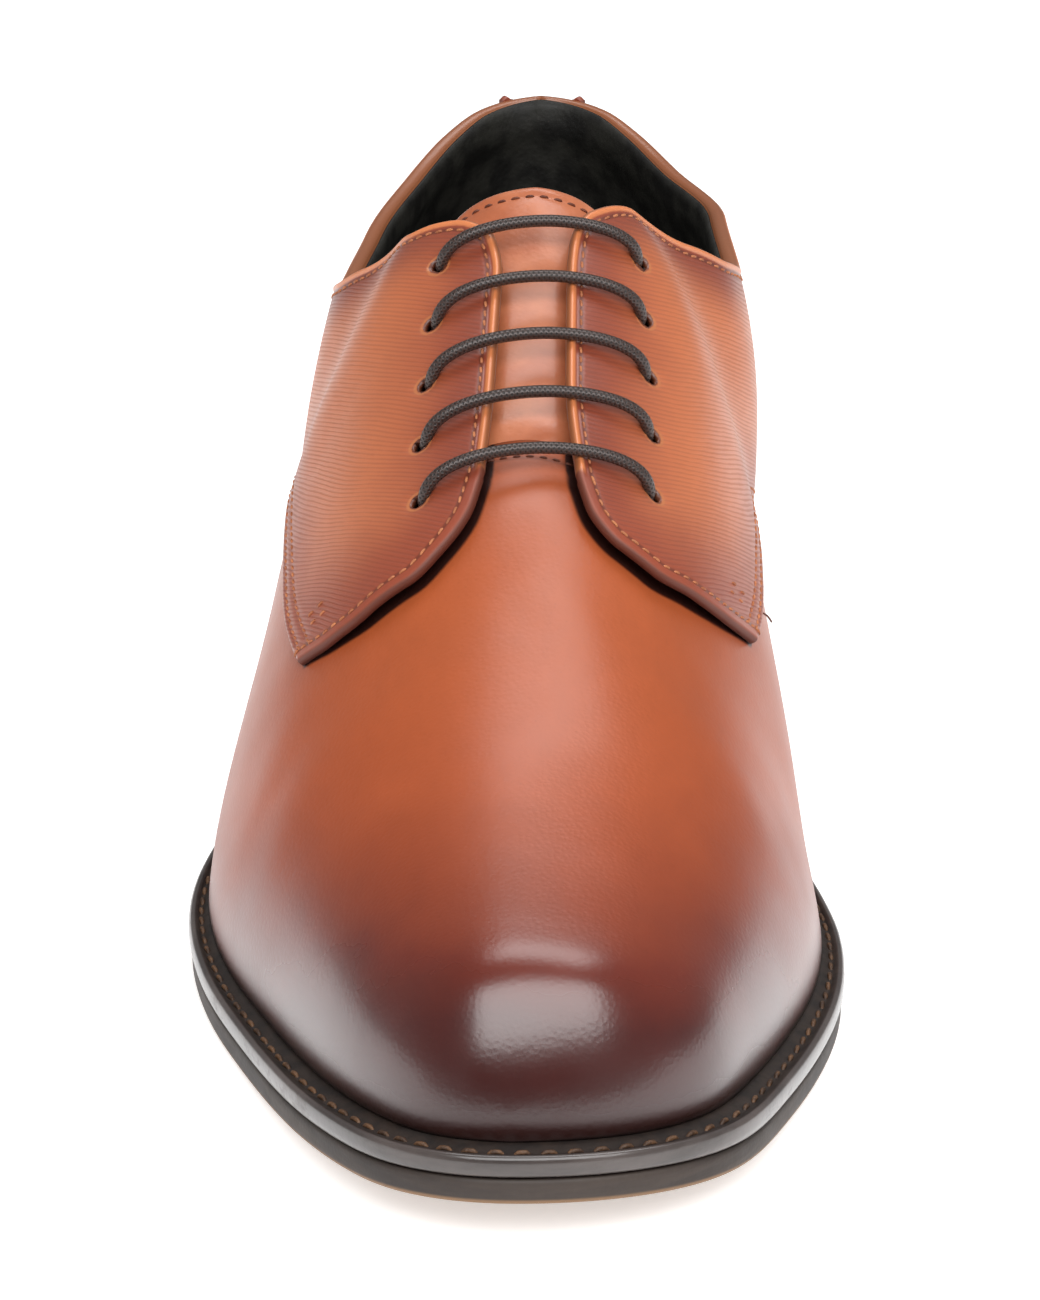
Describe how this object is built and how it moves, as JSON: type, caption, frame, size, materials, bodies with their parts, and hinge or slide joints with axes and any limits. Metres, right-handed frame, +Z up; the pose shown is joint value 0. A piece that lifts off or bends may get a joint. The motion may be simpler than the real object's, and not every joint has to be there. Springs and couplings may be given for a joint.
{
  "type": "derby shoe",
  "caption": "Plain toe derby shoe for a right foot, open facings with a round lace, stitched welt, leather sole shape and a stacked heel.",
  "frame": {"origin": "centre of the plan's bounding box, on the floor under the sole", "axes": "-Y towards the toe, +Z up, +X towards the inner side of the foot"},
  "size_m": [0.1103, 0.308, 0.1129],
  "materials": {
    "upper": "smooth tan calf, burnished dark red brown at the toe, embossed lines on the quarters",
    "lining": "dull near black lining leather",
    "outsole": "matte dark taupe brown",
    "welt": "polished dark brown edge",
    "lace": "waxed round braid, dark brown"
  },
  "bodies": {
    "root": {"outsole": "outsole", "welt": "welt", "heel_stack": "welt", "heel_top_lift": "outsole", "insole": "lining", "upper": "upper", "tongue": "upper", "lace": "lace"}
  },
  "joints": []
}
